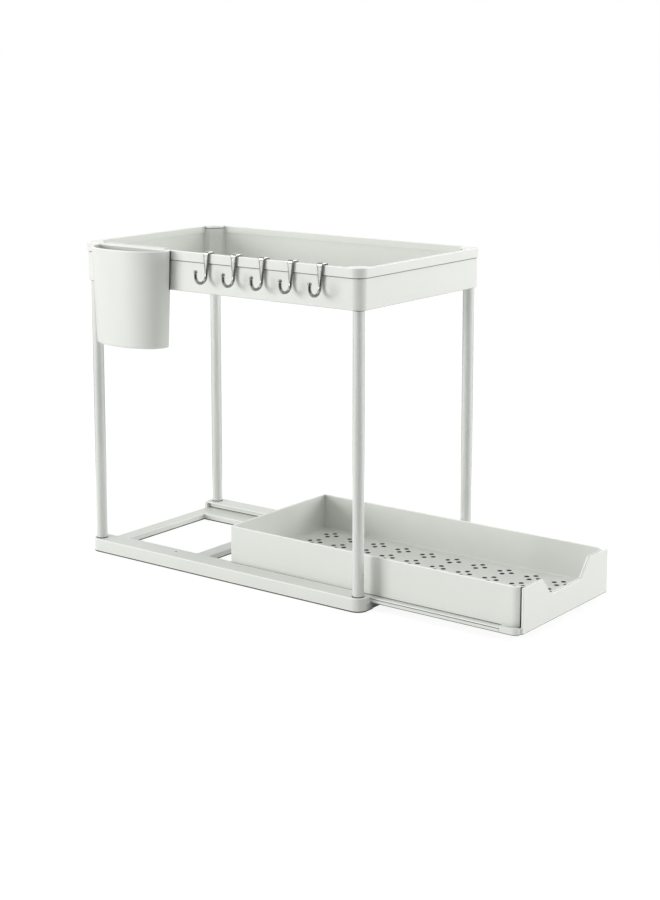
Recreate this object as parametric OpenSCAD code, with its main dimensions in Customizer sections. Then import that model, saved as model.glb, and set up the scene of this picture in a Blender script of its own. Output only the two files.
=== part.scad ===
// Two-tier organizer for the cupboard under a sink: a shelf on four posts over
// a low base, a drawer that slides in the base, a hanging cup and five hooks.
// Millimetres, +Z up. The origin is on the floor, under the centre of the base.
// The drawer pulls out towards -Y. The cup and the hooks hang on the -X side.

/* [Overall] */
// Length of the base and the shelf, front to back
body_l = 400; // [375:1:480]
// Width of the base and the shelf, side to side
body_w = 232; // [200:1:300]
// Height from the floor to the top of the shelf's rim
body_h = 373; // [300:1:460]
// Radius of the upright corners of the base and the shelf
corner_r = 12; // [11:0.5:15]
// Running gap between pieces that move
run_gap = 0.3; // [0.3:0.05:0.5]
// Gap round a piece that is pushed into another
push_gap = 0.1; // [0.05:0.05:0.2]

/* [Base] */
// Thickness of each side rail above its groove
rail_roof = 1.7; // [1.6:0.1:4]
// Wall of each side rail between its groove and a post's socket
socket_wall = 2.6; // [2:0.1:5]
// Thickness of the ladder frame between the rails
frame_t = 7.8; // [6.5:0.1:8.5]
// Width of the frame's two long strips
strip_w = 23; // [20:0.5:30]
// Width of the frame's crossbars
bar_w = 18; // [14:0.5:24]
// Number of crossbars
bar_count = 4; // [3:1:5]
// Distance of the frame's ends behind the ends of the rails
frame_inset = 1.5; // [1:0.5:3]
// Length of the tongues that hold the frame in the rails
tongue_l = 5; // [3:0.5:5]
// Thickness of the tongues
tongue_t = 3.6; // [2.5:0.1:4.5]
// Distance of the small locating dimples from the back of the rails
dimple_from_back = 121; // [100:1:140]
// Distance of the dimples from the rails' outer sides
dimple_from_side = 18; // [16:0.5:19]
// Diameter of the dimples
dimple_d = 2.4; // [2:0.1:3]
// Depth of the dimples
dimple_depth = 1; // [0.5:0.1:1.2]

/* [Foot pads] */
// Diameter of each non-slip pad
pad_d = 10; // [8:0.5:12]
// Thickness of each non-slip pad
pad_t = 1.6; // [1.2:0.1:2.4]
// How far a pad stands below the base
pad_proud = 0.6; // [0.4:0.1:0.8]

/* [Posts] */
// Outer diameter of a post
post_d = 12.8; // [11:0.2:13.4]
// Wall of a post's tube
post_wall = 1; // [0.8:0.1:1.5]
// Distance of a post's centre from the outer faces of the corner
post_inset = 10; // [9.5:0.1:11]
// Depth of the socket in the rail that holds the post's foot
foot_socket = 11; // [8:0.5:12]
// Distance of the post's top below the rim band
post_below_band = 0.6; // [0.4:0.1:10]

/* [Shelf] */
// Height of the shelf from its underside to its rim
shelf_h = 45; // [40:1:60]
// Wall of the shelf
shelf_wall = 2.2; // [1.8:0.1:3]
// Floor of the shelf
shelf_floor = 2.2; // [1.8:0.1:3]
// Height of the rim band
band_h = 10.4; // [9:0.1:14]
// Thickness of the rim's outer and inner legs
band_leg = 1.2; // [1:0.1:1.6]
// Thickness of the rim's top
band_top = 2; // [1.5:0.1:3]
// How much shorter the rim's inner leg is than its outer leg
inner_leg_cut = 2; // [1:0.5:3]
// Side of the block that holds a post's top, from the shelf's outer faces
block_side = 21; // [20.5:0.5:26]
// Wall between the socket and the block's diagonal face
block_wall = 2; // [1.2:0.1:3]

/* [Drawer] */
// Room behind the closed drawer
drawer_back_room = 11.5; // [8:0.5:30]
// Height of the drawer's walls
drawer_h = 43.8; // [36:0.5:60]
// Gap between a rail and the drawer's side
drawer_side_gap = 3; // [2:0.5:6]
// Walls of the drawer
drawer_wall = 2; // [1.6:0.1:2.6]
// Floor of the drawer
drawer_floor = 2; // [1.6:0.1:3]
// Radius of the drawer's two front corners
drawer_front_r = 12; // [8:0.5:16]
// Inner radius of the drawer's two back corners
drawer_back_in_r = 0.5; // [0.5:0.5:4]
// How far the drawer is pulled out
drawer_out = 185; // [0:1:185]
// Further travel from there to the stop
drawer_spare = 15; // [5:1:15]
// Thickness of the front panel
panel_t = 2; // [1.6:0.1:5]
// Gap between the front panel and the ladder frame below it
panel_gap = 0.5; // [0.4:0.1:2]
// Width of the hand notch at its top
notch_top_w = 100; // [80:1:110]
// Width of the hand notch at its bottom
notch_low_w = 64; // [50:1:76]
// Depth of the hand notch
notch_depth = 20.5; // [14:0.5:26]

/* [Drain holes] */
// Diameter of a drain hole
drain_d = 5; // [3:0.2:5.4]
// Distance from the centre of a group of four holes to each hole
drain_reach = 7.5; // [6:0.1:8]
// Distance between groups along the drawer
drain_pitch_l = 35; // [30:1:44]
// Distance between groups across the drawer
drain_pitch_w = 32; // [26:1:36]
// Least distance of a group's centre from a runner
drain_margin = 13; // [11:1:20]
// Least distance of a group's centre from an end wall, with the groups in the middle
drain_end_room = 24; // [18:1:40]
// How far the groups lie behind the middle of the drawer
drain_shift = 6.5; // [0:0.5:7]

/* [Runners] */
// Height of a runner
runner_h = 5.8; // [5:0.1:6]
// Width of a runner
runner_w = 16; // [12:0.5:20]
// How far a runner reaches into the rail's groove
runner_bite = 4.6; // [3.6:0.1:5]
// Radius of the runner's outer front corner
runner_nose_r = 7.5; // [4:0.5:9]
// Length of the raised end at the runner's front
runner_end_l = 22; // [12:1:30]
// Height of the raised end above the runner
runner_end_h = 1.6; // [0.8:0.1:3]
// Length of the stop lug on a runner
lug_l = 8; // [5:0.5:12]
// How far the stop lug stands out of the runner
lug_out = 2.2; // [1.5:0.1:2.4]
// Distance of the pocket's stop face behind the front of the rail
stop_inset = 15; // [14.5:0.5:18]
// Room in the rail's groove behind the closed drawer's runner
groove_spare = 7; // [1:0.5:7.5]

/* [Cup] */
// Width of the cup at its rim
cup_w = 110; // [90:1:125]
// Depth of the cup at its rim
cup_d = 36; // [30:1:60]
// Height of the cup
cup_h = 111.5; // [80:0.5:140]
// How much narrower the cup is at its bottom
cup_taper_w = 10; // [4:0.5:16]
// How much less deep the cup is at its bottom
cup_taper_d = 3; // [2:0.5:8]
// Radius of the cup's bottom edge
cup_foot_r = 3; // [3:0.5:10]
// Wall and floor of the cup
cup_wall = 2; // [1.6:0.1:2.6]
// Distance of the cup from the back of the shelf
cup_from_back = 28; // [16:1:34]
// Thickness of the cup's hanger
hanger_t = 1.5; // [1.2:0.1:2.4]
// Depth of the hanger's lip inside the shelf
hanger_lip = 12; // [8:0.5:16]
// Distance of the hanger's ends inside the cup's sides
hanger_inset = 10; // [8:1:20]

/* [Hooks] */
// Distance from the cup to the first hook
hook_start = 53; // [30:1:60]
// Distance from the last hook to the front of the shelf
hook_end = 51; // [30:1:70]
// Width of a hook's strap at the top
hook_strap_w = 7.5; // [6:0.5:10]
// Thickness of a hook's strap
hook_strap_t = 2.6; // [1.6:0.1:3]
// Depth of a hook's lip inside the shelf
hook_lip = 9; // [6:0.5:12]
// Height from the rim down to the centre of a hook's bend
hook_drop = 22.5; // [20:0.5:30]
// Diameter of a hook's bent end
hook_wire_d = 3.4; // [2.8:0.1:4]
// Radius of a hook's bend, to the middle of its round end
hook_bend_r = 9; // [8:0.5:14]
// Height of a hook's upright end above the centre of its bend
hook_tip_h = 4.5; // [2:0.5:10]
// Diameter of the ball on a hook's end
hook_ball_d = 4.6; // [4.2:0.1:6]

/* [Hidden] */
$fn = 64;
// a sliver by which joined solids overlap
eps = 0.01;
// how far a cut runs past a face
over = 1;
// exponent of the cup's bowed outline, and how finely it is drawn
cup_bow = 2.4;
cup_steps = 40;
foot_steps = 5;
// gaps between the five hooks
hook_gaps = 4;
post_r = post_d / 2;
post_x = body_w / 2 - post_inset;
post_y = body_l / 2 - post_inset;
base_z = pad_proud;
frame_top = base_z + frame_t;
shelf_z = body_h - shelf_h;
block_face = (post_r + push_gap + block_wall) * sqrt(2);
runner_z = frame_top + run_gap;
drawer_z = runner_z + runner_h;
rail_top = drawer_z + run_gap + rail_roof;
rail_in_x = post_x - post_r - push_gap - socket_wall - run_gap - runner_bite;
post_z = rail_top - foot_socket;
post_top = body_h - band_h - post_below_band;
drawer_w = 2 * (rail_in_x - drawer_side_gap);
drawer_l = body_l - panel_t - drawer_back_room;
drawer_back_r = drawer_back_in_r + drawer_wall;
drawer_front = -body_l / 2 - drawer_out + panel_t;
drawer_back = drawer_front + drawer_l;
drawer_mid = (drawer_front + drawer_back) / 2;
drain_mid = drawer_mid + drain_shift;
runner_out_x = rail_in_x + runner_bite;
runner_low_x = runner_out_x - runner_w;
groove_x = runner_out_x + run_gap;
pocket_x = groove_x + lug_out;
stop_y = -body_l / 2 + stop_inset;
lug_y = stop_y + run_gap + drawer_spare;
pocket_back = lug_y + lug_l + drawer_out + run_gap;
groove_back = drawer_back + drawer_out + groove_spare;
open_back = -body_l / 2 + panel_t + runner_end_l + run_gap;
band_x = body_w / 2 + push_gap + band_leg;
band_in_x = body_w / 2 - shelf_wall - push_gap - band_leg;
cup_y = body_l / 2 - cup_from_back - cup_w / 2;
cup_back_x = -band_x - run_gap;
cup_z = body_h - cup_h;
hook_y0 = cup_y - cup_w / 2 - hook_start;
hook_pitch = (body_l / 2 + hook_y0 - hook_end) / hook_gaps;
hanger_z = body_h + run_gap;

// A rectangle with four round corners, centred
module round_rect(w, l, r) {
    square([w - 2 * r, l], center = true);
    square([w, l - 2 * r], center = true);
    for (sx = [-1, 1], sy = [-1, 1])
        translate([sx * (w / 2 - r), sy * (l / 2 - r)])
            circle(r);
}

// A plate with four round corners, standing on z
module round_plate(w, l, r, z, h) {
    translate([0, 0, z])
        linear_extrude(h)
            round_rect(w, l, r);
}

// A box from one corner to the opposite one
module box(low, high) {
    translate(low)
        cube(high - low);
}

// A tray's outline: round front corners and smaller back corners
module tray_outline(w, l, rf, rb) {
    translate([-w / 2 + rf, -l / 2])
        square([w - 2 * rf, rf]);
    translate([-w / 2, -l / 2 + rf])
        square([w, l - rf - rb]);
    translate([-w / 2 + rb, l / 2 - rb])
        square([w - 2 * rb, rb]);
    for (s = [-1, 1]) {
        translate([s * (w / 2 - rf), -l / 2 + rf])
            circle(rf);
        translate([s * (w / 2 - rb), l / 2 - rb])
            circle(rb);
    }
}

module at_corners(x, y) {
    for (sx = [-1, 1], sy = [-1, 1])
        translate([sx * x, sy * y, 0])
            children();
}

module bar_places() {
    span = body_l - 2 * frame_inset - bar_w;
    for (i = [0 : bar_count - 1])
        translate([0, span / 2 - i * span / (bar_count - 1), 0])
            children();
}

module base_frame() {
    color("whitesmoke") {
        for (s = [-1, 1])
            translate([s * (rail_in_x - strip_w / 2), 0, base_z + frame_t / 2])
                cube([strip_w, body_l - 2 * frame_inset, frame_t], center = true);
        bar_places()
            translate([0, 0, base_z + frame_t / 2])
                cube([2 * rail_in_x - 2 * strip_w + 2 * eps, bar_w, frame_t], center = true);
        bar_places()
            for (s = [-1, 1])
                translate([s * (rail_in_x + tongue_l / 2), 0, base_z + frame_t / 2])
                    cube([tongue_l + 2 * eps, bar_w / 2, tongue_t], center = true);
    }
}

// The right-hand rail; the left one is its mirror image
module rail() {
    difference() {
        intersection() {
            round_plate(body_w, body_l, corner_r, base_z, rail_top - base_z);
            box([rail_in_x, -body_l / 2, 0], [body_w / 2, body_l / 2, rail_top]);
        }
        // groove for the runner, open at the front
        box([rail_in_x - over, -body_l / 2 - over, frame_top],
            [groove_x, groove_back, drawer_z + run_gap]);
        // the groove's open front, which takes the closed runner's raised end
        box([rail_in_x - over, -body_l / 2 - over, drawer_z],
            [groove_x, open_back, rail_top + over]);
        // pocket for the runner's stop lug
        box([groove_x - eps, stop_y, frame_top],
            [pocket_x, pocket_back, drawer_z + run_gap]);
        // sockets for the posts' feet
        for (sy = [-1, 1])
            translate([post_x, sy * post_y, post_z])
                cylinder(r = post_r + push_gap, h = foot_socket + over);
        // slots for the frame's tongues
        bar_places()
            translate([rail_in_x + tongue_l / 2, 0, base_z + frame_t / 2])
                cube([tongue_l + 2 * push_gap, bar_w / 2 + 2 * push_gap, tongue_t + 2 * push_gap],
                     center = true);
        // recesses for the foot pads
        for (sy = [-1, 1])
            translate([post_x, sy * (post_y - post_d), -over])
                cylinder(d = pad_d + 2 * push_gap, h = pad_t + over);
        // locating dimple
        translate([body_w / 2 - dimple_from_side, body_l / 2 - dimple_from_back,
                   rail_top - dimple_depth])
            cylinder(d = dimple_d, h = dimple_depth + over);
    }
}

module right_rail() {
    color("whitesmoke")
        rail();
}

module left_rail() {
    color("whitesmoke")
        mirror([1, 0, 0])
            rail();
}

module foot_pads() {
    color("gainsboro")
        at_corners(post_x, post_y - post_d)
            cylinder(d = pad_d, h = pad_t);
}

module post(sx, sy) {
    color("ghostwhite")
        translate([sx * post_x, sy * post_y, post_z])
            difference() {
                cylinder(r = post_r, h = post_top - post_z);
                translate([0, 0, -over])
                    cylinder(r = post_r - post_wall, h = post_top - post_z + 2 * over);
            }
}

// Square blocks in the shelf's corners, cut off by a diagonal face
module corner_blocks(z, h) {
    low_x = body_w / 2 - block_side;
    low_y = body_l / 2 - block_side;
    reach = post_x + post_y - block_face;
    for (sx = [-1, 1], sy = [-1, 1])
        scale([sx, sy, 1])
            translate([0, 0, z])
                linear_extrude(h)
                    polygon([
                        [body_w / 2, body_l / 2], [low_x, body_l / 2],
                        [low_x, reach - low_x], [reach - low_y, low_y], [body_w / 2, low_y]
                    ]);
}

module shelf_tray() {
    color("whitesmoke")
        difference() {
            union() {
                difference() {
                    round_plate(body_w, body_l, corner_r, shelf_z, shelf_h - band_top);
                    round_plate(body_w - 2 * shelf_wall, body_l - 2 * shelf_wall,
                                corner_r - shelf_wall, shelf_z + shelf_floor, shelf_h);
                }
                // blocks that hold the posts' tops
                intersection() {
                    round_plate(body_w, body_l, corner_r, shelf_z, shelf_h - band_top);
                    corner_blocks(shelf_z, shelf_h);
                }
            }
            at_corners(post_x, post_y)
                translate([0, 0, shelf_z - over])
                    cylinder(r = post_r + push_gap, h = post_top - shelf_z + over);
            // room for the rim's inner leg in the corner blocks
            rim_inner_leg(push_gap);
        }
}

// The rim's inner leg, with room for a gap all round it
module rim_inner_leg(gap) {
    leg_h = band_h - inner_leg_cut - band_top;
    difference() {
        round_plate(body_w - 2 * (shelf_wall + push_gap) + 2 * gap,
                    body_l - 2 * (shelf_wall + push_gap) + 2 * gap,
                    corner_r - shelf_wall - push_gap + gap,
                    body_h - band_top - leg_h - gap, leg_h + gap + eps);
        round_plate(2 * band_in_x - 2 * gap, 2 * band_in_x - 2 * gap + body_l - body_w,
                    corner_r - shelf_wall - push_gap - band_leg - gap,
                    body_h - band_h, band_h);
    }
}

module shelf_rim() {
    color("whitesmoke") {
        difference() {
            round_plate(2 * band_x, 2 * band_x + body_l - body_w,
                        corner_r + push_gap + band_leg, body_h - band_h, band_h);
            round_plate(body_w + 2 * push_gap, body_l + 2 * push_gap,
                        corner_r + push_gap, body_h - band_h - over, band_h + over - band_top);
            difference() {
                round_plate(2 * band_in_x, 2 * band_in_x + body_l - body_w,
                            corner_r - shelf_wall - push_gap - band_leg,
                            body_h - band_h, band_h + over);
                // caps over the corner blocks
                corner_blocks(body_h - band_top, band_top + 2 * over);
            }
        }
        rim_inner_leg(0);
    }
}

// The trapezoid that the hand reaches through
module notch_cut(y0, y1) {
    top_z = drawer_z + drawer_h;
    slope = (notch_top_w - notch_low_w) / 2 / notch_depth;
    translate([0, y1, top_z])
        rotate([90, 0, 0])
            linear_extrude(y1 - y0)
                polygon([
                    [-notch_low_w / 2, -notch_depth], [notch_low_w / 2, -notch_depth],
                    [notch_top_w / 2 + slope * over, over],
                    [-notch_top_w / 2 - slope * over, over]
                ]);
}

module drain_holes() {
    in_l = drawer_l - 2 * (drawer_wall + drain_end_room);
    in_w = 2 * (runner_low_x - drain_margin);
    rows = floor(in_l / drain_pitch_l);
    cols = floor(in_w / drain_pitch_w);
    for (i = [0 : rows], j = [0 : cols], a = [0 : 90 : 270])
        translate([(j - cols / 2) * drain_pitch_w + drain_reach * cos(a),
                   drain_mid + (i - rows / 2) * drain_pitch_l + drain_reach * sin(a),
                   drawer_z - over])
            cylinder(d = drain_d, h = drawer_floor + 2 * over);
}

module drawer_body() {
    color("whitesmoke")
        difference() {
            translate([0, drawer_mid, drawer_z])
                linear_extrude(drawer_h)
                    tray_outline(drawer_w, drawer_l, drawer_front_r, drawer_back_r);
            translate([0, drawer_mid, drawer_z + drawer_floor])
                linear_extrude(drawer_h)
                    tray_outline(drawer_w - 2 * drawer_wall, drawer_l - 2 * drawer_wall,
                                 drawer_front_r - drawer_wall, drawer_back_in_r);
            notch_cut(drawer_front - over, drawer_front + drawer_wall + over);
            drain_holes();
        }
}

module drawer_front_panel() {
    color("whitesmoke")
        difference() {
            box([-drawer_w / 2, drawer_front - panel_t, frame_top + panel_gap],
                [drawer_w / 2, drawer_front, drawer_z + drawer_h]);
            notch_cut(drawer_front - panel_t - over, drawer_front + over);
        }
}

// A strip behind the front panel, with its outer front corner round
module runner_strip(back, z, h) {
    nose_x = runner_out_x - runner_nose_r;
    nose_y = drawer_front + runner_nose_r;
    box([runner_low_x, nose_y, z], [runner_out_x, back, z + h]);
    box([runner_low_x, drawer_front, z], [nose_x, nose_y, z + h]);
    translate([nose_x, nose_y, z])
        cylinder(r = runner_nose_r, h = h);
}

// The right-hand runner; the left one is its mirror image
module runner() {
    end_back = drawer_front + runner_end_l;
    runner_strip(drawer_back, runner_z, runner_h);
    // raised end outside the drawer's wall
    intersection() {
        runner_strip(end_back, drawer_z - eps, runner_end_h + eps);
        box([drawer_w / 2, drawer_front, runner_z], [runner_out_x, end_back, rail_top]);
    }
    // stop lug
    box([runner_out_x - eps, lug_y, runner_z],
        [runner_out_x + lug_out, lug_y + lug_l, drawer_z]);
}

module right_runner() {
    color("whitesmoke")
        runner();
}

module left_runner() {
    color("whitesmoke")
        mirror([1, 0, 0])
            runner();
}

// The cup's outline at one height: a flat back and a bowed front.
// Its points run round a half superellipse and back along the flat.
function cup_ring(w, d, inset, z) = [
    for (i = [0 : cup_steps])
        let (a = 180 * i / cup_steps, c = cos(a), s = sin(a))
        [cup_back_x - inset - (d - 2 * inset) * pow(abs(s), 2 / cup_bow),
         cup_y + (w / 2 - inset) * sign(c) * pow(abs(c), 2 / cup_bow),
         z]
];

// The outline at height h above the cup's bottom, drawn in by foot at its edge
function cup_at(h, foot, inset, z) =
    let (t = (cup_h - h) / cup_h)
    cup_ring(cup_w - cup_taper_w * t - 2 * foot, cup_d - cup_taper_d * t - foot, inset, z);

// The outlines from the bottom up, round its edge and straight up to the rim
function cup_rings(inset, floor_z, top_z) = concat(
    [for (i = [0 : foot_steps])
        let (a = 90 * i / foot_steps, r = cup_foot_r - inset,
             h = floor_z + r * (1 - cos(a)))
        cup_at(h, r * (1 - sin(a)), inset, cup_z + h)],
    [cup_at(cup_h, 0, inset, cup_z + top_z)]
);

module cup_solid(inset, floor_z, top_z) {
    rings = cup_rings(inset, floor_z, top_z);
    n = cup_steps + 1;
    last = len(rings) - 1;
    polyhedron(
        points = [for (r = rings, p = r) p],
        faces = concat(
            [[for (i = [0 : n - 1]) i]],
            [for (k = [0 : last - 1], i = [0 : n - 1])
                [k * n + i, (k + 1) * n + i, (k + 1) * n + (i + 1) % n, k * n + (i + 1) % n]],
            [[for (i = [n - 1 : -1 : 0]) last * n + i]]
        )
    );
}

module hanging_cup() {
    hang_w = cup_w - 2 * hanger_inset;
    lip_x = -band_in_x + run_gap;
    color("whitesmoke") {
        difference() {
            cup_solid(0, 0, cup_h);
            cup_solid(cup_wall, cup_wall, cup_h + over);
        }
        // hanger: up from the back wall, over the rim and down inside it
        box([cup_back_x - hanger_t, cup_y - hang_w / 2, body_h - 2 * hanger_t],
            [cup_back_x, cup_y + hang_w / 2, hanger_z + hanger_t]);
        box([cup_back_x - hanger_t, cup_y - hang_w / 2, hanger_z],
            [lip_x + hanger_t, cup_y + hang_w / 2, hanger_z + hanger_t]);
        box([lip_x, cup_y - hang_w / 2, body_h - hanger_lip],
            [lip_x + hanger_t, cup_y + hang_w / 2, hanger_z + hanger_t]);
    }
}

// One hook, at its place along the rim. It is drawn about the point where its
// strap ends and its round bend begins.
module hook(i) {
    wire_r = hook_wire_d / 2;
    wire_x = -band_x - run_gap - wire_r;
    lip_x = -band_in_x + run_gap - wire_x;
    bridge_z = hook_drop + run_gap;
    strap_top = bridge_z + hook_strap_t;
    color("dimgray")
        translate([wire_x, hook_y0 - i * hook_pitch, body_h - hook_drop]) {
            // lip inside the shelf and bridge over the rim
            box([lip_x, -hook_strap_w / 2, hook_drop - hook_lip],
                [lip_x + hook_strap_t, hook_strap_w / 2, strap_top]);
            box([wire_r - hook_strap_t, -hook_strap_w / 2, bridge_z],
                [lip_x + hook_strap_t, hook_strap_w / 2, strap_top]);
            // strap that narrows down to the round end
            translate([wire_r, 0, 0])
                rotate([0, -90, 0])
                    linear_extrude(hook_strap_t)
                        polygon([
                            [0, -wire_r], [0, wire_r],
                            [strap_top, hook_strap_w / 2], [strap_top, -hook_strap_w / 2]
                        ]);
            // bend
            translate([-hook_bend_r, 0, 0])
                rotate([-90, 0, 0])
                    rotate_extrude(angle = 180)
                        translate([hook_bend_r, 0])
                            circle(r = wire_r);
            // upright end with its ball
            translate([-2 * hook_bend_r, 0, 0]) {
                cylinder(r = wire_r, h = hook_tip_h);
                translate([0, 0, hook_tip_h])
                    sphere(d = hook_ball_d);
            }
        }
}

base_frame();
left_rail();
right_rail();
foot_pads();
post(-1, -1);  // post_front_left
post(1, -1);  // post_front_right
post(-1, 1);  // post_back_left
post(1, 1);  // post_back_right
shelf_tray();
shelf_rim();
drawer_body();
drawer_front_panel();
left_runner();
right_runner();
hanging_cup();
hook(0);  // hook_1
hook(1);  // hook_2
hook(2);  // hook_3
hook(3);  // hook_4
hook(4);  // hook_5
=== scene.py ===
"""A two-tier organizer for the cupboard under a sink, dressed for its picture.

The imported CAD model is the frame, and each class below dresses one sub-assembly of it. Lengths are
millimetres in every class and MM turns them to metres. +Z is up, the drawer pulls out towards -Y,
and the cup and the hooks hang on the -X side. The origin is on the floor under the base's centre.
"""
import logging
import math
from collections.abc import Callable, Sequence
from dataclasses import dataclass, replace
from enum import Enum

import bmesh
import bpy
from mathutils import Euler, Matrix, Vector


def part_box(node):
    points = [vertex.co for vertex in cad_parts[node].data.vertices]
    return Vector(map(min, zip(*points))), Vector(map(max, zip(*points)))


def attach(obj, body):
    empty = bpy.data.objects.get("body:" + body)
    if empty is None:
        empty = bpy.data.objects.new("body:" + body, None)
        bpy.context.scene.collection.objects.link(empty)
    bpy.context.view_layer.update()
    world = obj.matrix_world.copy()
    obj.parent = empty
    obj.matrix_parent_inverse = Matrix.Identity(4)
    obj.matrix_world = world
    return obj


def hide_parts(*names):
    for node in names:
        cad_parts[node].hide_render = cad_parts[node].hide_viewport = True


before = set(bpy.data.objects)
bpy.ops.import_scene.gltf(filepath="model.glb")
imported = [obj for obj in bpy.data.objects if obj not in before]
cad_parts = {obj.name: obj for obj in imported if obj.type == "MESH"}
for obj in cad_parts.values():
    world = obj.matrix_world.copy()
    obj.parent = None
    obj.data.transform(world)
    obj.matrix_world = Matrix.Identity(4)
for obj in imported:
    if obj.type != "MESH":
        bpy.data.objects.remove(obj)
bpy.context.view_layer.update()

MM = 0.001
# Faces marked with this attribute get painted shade: a dark colour standing in for shadow in gaps, on
# resting edges, in holes and under the runners.
PAINTED_SHADE = "painted_shade"
# Faces marked with this attribute get a painted highlight: a paler colour standing in for light caught by
# thin edges.
PAINTED_HIGHLIGHT = "painted_highlight"
SHARP_ANGLE = math.radians(35)
ACROSS = (1, 0, 0)
UP = (0, 0, 1)
log = logging.getLogger("organizer")

Point = tuple[float, float]
Ring = list[Vector]


class Body(Enum):
    """The CAD bodies that pieces ride on."""

    FRAME = "frame"
    DRAWER = "drawer"
    CUP = "cup"


class Slot(Enum):
    """The material slots, each keyed to one finish."""

    PLASTIC = "white_plastic"
    ENAMEL = "post_enamel"
    STEEL = "hook_steel"
    SILICONE = "pad_silicone"


class Side(Enum):
    """The two sides of the organizer, as the sign of X."""

    LEFT = -1
    RIGHT = 1


def in_steps(whole: float, count: int) -> list[float]:
    """Returns the values from 0 to a whole in equal steps."""
    return [whole * step / count for step in range(count + 1)]


def signed_power(value: float, power: float) -> float:
    """Raises a value's size to a power and keeps its sign."""
    return math.copysign(abs(value) ** power, value)


def linear(hex_colour: str) -> tuple[float, float, float, float]:
    """Turns an sRGB hex colour to the linear values that shaders use.

    Args:
        hex_colour: Six hex digits, such as "e6e8e3".

    Returns:
        Red, green, blue and an alpha of 1.
    """
    channels = []
    for start in (0, 2, 4):
        value = int(hex_colour[start:start + 2], 16) / 255
        low = value / 12.92
        high = ((value + 0.055) / 1.055) ** 2.4
        channels.append(low if value <= 0.04045 else high)
    return (*channels, 1.0)


def add_node(tree: bpy.types.NodeTree, kind: str, inputs: dict | None = None,
             **settings: object) -> bpy.types.Node:
    """Adds one node with its settings, its plain input values and its links.

    Args:
        tree: The tree that gets the node.
        kind: The node's type name in Blender.
        inputs: Values or output sockets, by the name or number of the input.
        settings: Properties of the node.

    Returns:
        The new node.
    """
    made = tree.nodes.new(kind)
    for name, value in settings.items():
        setattr(made, name, value)
    for key, value in (inputs or {}).items():
        if isinstance(value, bpy.types.NodeSocket):
            tree.links.new(value, made.inputs[key])
        else:
            made.inputs[key].default_value = value
    return made


def mix(tree: bpy.types.NodeTree, share: object, first: object,
        second: object) -> bpy.types.NodeSocket:
    """Mixes two colours, each a hex colour or a socket, and returns the result."""
    first, second = (linear(colour) if isinstance(colour, str) else colour for colour in (first, second))
    return add_node(tree, "ShaderNodeMix", {0: share, 6: first, 7: second}, data_type="RGBA").outputs[2]


def noise(tree: bpy.types.NodeTree, place: object, size_mm: float,
          detail: float) -> bpy.types.NodeSocket:
    """Adds a noise of a real size in millimetres and returns its value."""
    return add_node(tree, "ShaderNodeTexNoise",
                    {"Vector": place, "Scale": 1 / (size_mm * MM), "Detail": detail}).outputs["Fac"]


def bump(tree: bpy.types.NodeTree, height: object, depth_mm: float) -> bpy.types.NodeSocket:
    """Turns a height to a bump of a real depth in millimetres and returns the normal."""
    return add_node(tree, "ShaderNodeBump",
                    {"Height": height, "Distance": depth_mm * MM}).outputs["Normal"]


def spread(tree: bpy.types.NodeTree, value: object, middle: float,
           reach: float) -> bpy.types.NodeSocket:
    """Spreads a value from 0 to 1 round a middle and returns the result."""
    limits = {"To Min": middle - reach, "To Max": middle + reach}
    return add_node(tree, "ShaderNodeMapRange", {"Value": value, **limits}).outputs["Result"]


def mark(tree: bpy.types.NodeTree, name: str) -> bpy.types.NodeSocket:
    """Returns the value of a mark on the piece's faces."""
    return add_node(tree, "ShaderNodeAttribute", attribute_name=name).outputs["Fac"]


def close(tree: bpy.types.NodeTree, inputs: dict) -> None:
    """Ends a material's tree with its principled shader."""
    shader = add_node(tree, "ShaderNodeBsdfPrincipled", inputs)
    add_node(tree, "ShaderNodeOutputMaterial", {"Surface": shader.outputs["BSDF"]})


def new_material(name: str) -> tuple[bpy.types.Material, bpy.types.NodeTree]:
    """Makes an empty node material.

    Args:
        name: The material's name.

    Returns:
        The material and its node tree.
    """
    material = bpy.data.materials.new(name)
    material.use_nodes = True
    material.node_tree.nodes.clear()
    return material, material.node_tree


@dataclass(frozen=True)
class MouldedPlastic:
    """Injection-moulded polypropylene with a satin grain.

    The mould's fine grain breaks the gloss up, and the melt's flow leaves the colour and the gloss
    very slightly cloudy over a few centimetres. Marked thin edges get a painted highlight, a paler
    colour, and marked gaps, resting edges and holes get painted shade, a dark colour.
    """

    name: str = "moulded polypropylene"
    colour: str = "e7e9e4"
    cloud_colour: str = "e3e5e0"
    # Colours of the painted highlight on thin edges and of the painted shade on marked faces
    highlight_colour: str = "fafbf8"
    painted_shade_colour: str = "2c2c2a"
    roughness: float = 0.42
    roughness_spread: float = 0.07
    cloud_mm: float = 45.0
    # real grain is about 0.2 mm, drawn at 0.9 mm so that it shows
    grain_mm: float = 0.9
    grain_depth_mm: float = 0.012
    ior: float = 1.49

    def build(self) -> bpy.types.Material:
        """Builds the material.

        Returns:
            The material.
        """
        material, tree = new_material(self.name)
        place = add_node(tree, "ShaderNodeTexCoord").outputs["Object"]
        cloud = noise(tree, place, self.cloud_mm, 2.0)
        colour = mix(tree, cloud, self.cloud_colour, self.colour)
        # Painted highlight: marked thin edges are mixed towards a paler colour
        highlighted = mix(tree, mark(tree, PAINTED_HIGHLIGHT), colour, self.highlight_colour)
        grain = noise(tree, place, self.grain_mm, 1.0)
        close(tree, {
            # Painted shade: marked faces are mixed towards a dark colour
            "Base Color": mix(tree, mark(tree, PAINTED_SHADE), highlighted, self.painted_shade_colour),
            "Roughness": spread(tree, cloud, self.roughness, self.roughness_spread),
            "Normal": bump(tree, grain, self.grain_depth_mm), "IOR": self.ior})
        return material


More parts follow.
